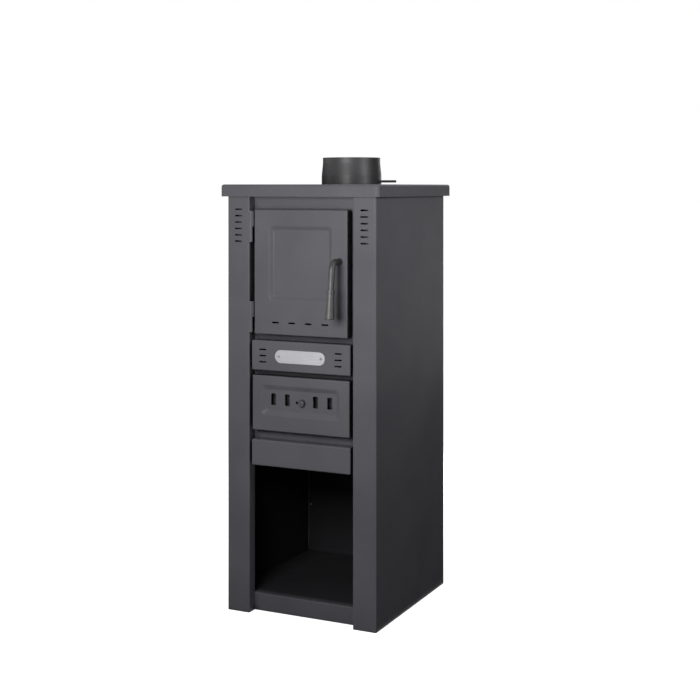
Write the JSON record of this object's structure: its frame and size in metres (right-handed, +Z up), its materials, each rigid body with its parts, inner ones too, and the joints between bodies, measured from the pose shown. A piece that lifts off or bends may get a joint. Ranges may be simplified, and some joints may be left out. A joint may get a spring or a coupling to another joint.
{
  "type": "solid fuel stove",
  "caption": "Tall narrow steel stove for wood and coal: fire door with turning handle, slotted ash drawer, open fuel store below, round flue collar with damper on top.",
  "frame": {"origin": "on the floor, in the middle of the outline of the closed stove, handle included", "axes": "+X to the right seen from the front, +Y to the back (the front faces -Y), +Z up along the flue collar"},
  "size_m": [0.34, 0.4013, 0.885],
  "materials": {
    "anthracite_paint": "satin heat-resistant paint on folded sheet steel",
    "inner_steel": "matt black heat-resistant coat, smoked",
    "cast_iron": "rough as-cast",
    "firebrick": "pressed vermiculite or chamotte board, matt and porous",
    "rope": "knitted glass-fibre rope",
    "gasket": "ceramic fibre paper",
    "badge_metal": "satin anodised, bare",
    "handle_steel": "brushed steel",
    "fasteners": "zinc plated steel, dulled by heat"
  },
  "bodies": {
    "casing": {"ash_floor": "inner_steel", "badge": "badge_metal", "badge_rivets": "fasteners", "baffle": "inner_steel", "base_pan": "anthracite_paint", "collar_bolts": "fasteners", "collar_gasket": "gasket", "collar_nuts": "fasteners", "column_hinges": "anthracite_paint", "drawer_runners": "inner_steel", "firebox_roof": "inner_steel", "firebox_supports": "inner_steel", "firebox_wrapper": "inner_steel", "flue_collar": "anthracite_paint", "front_frame": "anthracite_paint", "fuel_guard": "inner_steel", "grate": "cast_iron", "grate_seat": "cast_iron", "hinge_pins": "fasteners", "left_firebrick": "firebrick", "left_side_panel": "anthracite_paint", "lower_panel": "anthracite_paint", "name_panel": "anthracite_paint", "plate_brackets": "inner_steel", "rear_firebrick": "firebrick", "rear_panel": "anthracite_paint", "rear_screws": "fasteners", "right_firebrick": "firebrick", "right_side_panel": "anthracite_paint", "seat_rails": "inner_steel", "storage_roof": "inner_steel", "top_plate": "anthracite_paint"},
    "fire_door": {"door_skin": "anthracite_paint", "door_liner": "inner_steel", "door_seal": "rope", "door_heat_shield": "inner_steel", "shield_spacers": "fasteners", "shield_screws": "fasteners", "shield_nuts": "fasteners", "door_hinges": "anthracite_paint", "handle_bush": "handle_steel"},
    "door_handle": {"handle_rod": "handle_steel", "handle_ring": "handle_steel", "handle_grip": "handle_steel", "latch_tongue": "fasteners", "latch_nut": "fasteners"},
    "ash_drawer": {"ash_front": "anthracite_paint", "ash_front_back": "inner_steel", "ash_pan": "inner_steel", "pan_bolts": "fasteners", "pan_nuts": "fasteners", "slide_guides": "inner_steel"},
    "air_slide": {"air_slide_plate": "inner_steel", "air_knob": "handle_steel"},
    "damper": {"damper_disc": "inner_steel", "damper_rod": "handle_steel", "damper_straps": "inner_steel"}
  },
  "joints": [
    {"name": "fire_door_hinge", "type": "hinge", "parent": "casing", "child": "fire_door", "pos_m": [-0.10545, -0.15347, 0.66], "axis": [0, 0, -1], "range_deg": [0, 150]},
    {"name": "handle_turn", "type": "hinge", "parent": "fire_door", "child": "door_handle", "pos_m": [0.0835, -0.14997, 0.685], "axis": [0, -1, 0], "range_deg": [0, 90]},
    {"name": "ash_drawer_pull", "type": "slide", "parent": "casing", "child": "ash_drawer", "axis": [0, -1, 0], "range_m": [0, 0.24]},
    {"name": "air_slide_shift", "type": "slide", "parent": "ash_drawer", "child": "air_slide", "axis": [-1, 0, 0], "range_m": [0, 0.0115]},
    {"name": "damper_turn", "type": "hinge", "parent": "casing", "child": "damper", "pos_m": [0, 0.07753, 0.8364], "axis": [1, 0, 0], "range_deg": [0, 90]}
  ]
}
